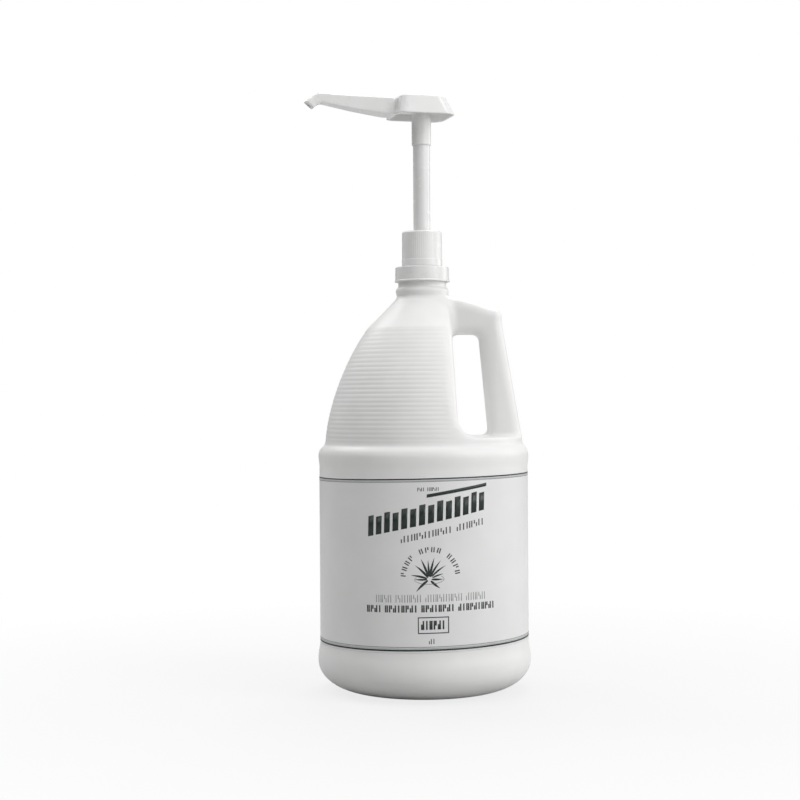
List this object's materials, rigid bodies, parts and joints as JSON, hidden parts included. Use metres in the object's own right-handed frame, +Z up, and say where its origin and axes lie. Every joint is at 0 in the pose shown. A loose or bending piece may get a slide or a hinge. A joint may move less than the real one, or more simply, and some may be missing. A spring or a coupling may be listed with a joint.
{
  "type": "lotion pump dispenser jug",
  "caption": "One-gallon white handled jug with a ribbed dome, wrap label and screw-on lotion pump with a long spout, for ultrasound coupling lotion",
  "frame": {"origin": "centre of the jug's flat foot ring, on the surface it stands on", "axes": "+Z up along the neck, pump and jug axis; +X towards the handle; -Y towards the front of the label"},
  "size_m": [0.1649, 0.1568, 0.4356],
  "materials": {
    "jug_plastic": "satin blow-moulded polyethylene, slightly translucent",
    "label_film": null,
    "pump_white": "moulded polypropylene, satin to gloss",
    "stem_white": "smooth extruded polypropylene, gloss",
    "clear_white": "natural polypropylene and polyethylene, milky",
    "soft_seal": "soft matt elastomer",
    "steel": "polished stainless steel"
  },
  "bodies": {
    "container": {"jug": "jug_plastic", "label": "label_film"},
    "pump": {"pump_housing": "clear_white", "lock_collar": "pump_white", "stem_wiper": "soft_seal", "neck_gasket": "soft_seal", "inlet_cage": "pump_white", "dip_tube": "clear_white", "spring": "steel"},
    "cap": {"screw_cap": "pump_white"},
    "inlet_valve": {"inlet_ball": "steel"},
    "plunger": {"piston": "pump_white", "piston_cup": "soft_seal"},
    "outlet_valve": {"outlet_ball": "steel"},
    "head": {"stem": "stem_white", "pump_head": "pump_white"}
  },
  "joints": [
    {"name": "pump_rise", "type": "slide", "parent": "container", "child": "pump", "axis": [0, 0, 1], "range_m": [0, 0.00635]},
    {"name": "cap_turn", "type": "hinge", "parent": "pump", "child": "cap", "pos_m": [0, 0, 0.305], "axis": [0, 0, 1], "range_deg": [0, 540]},
    {"name": "inlet_lift", "type": "slide", "parent": "pump", "child": "inlet_valve", "axis": [0, 0, 1], "range_m": [0, 0.0025]},
    {"name": "stroke", "type": "slide", "parent": "pump", "child": "plunger", "axis": [0, 0, -1], "range_m": [0, 0.062], "stiffness_N_per_m": 250, "springref_m": -0.04, "deforming": ["spring"]},
    {"name": "outlet_lift", "type": "slide", "parent": "plunger", "child": "outlet_valve", "axis": [0, 0, 1], "range_m": [0, 0.002]},
    {"name": "head_swivel", "type": "hinge", "parent": "plunger", "child": "head", "pos_m": [0, 0, 0.4], "axis": [0, 0, 1], "continuous": true}
  ],
  "couplings": [
    {"joint": "cap_turn", "follows": "pump_rise", "rad_per_m": 1484.3}
  ]
}
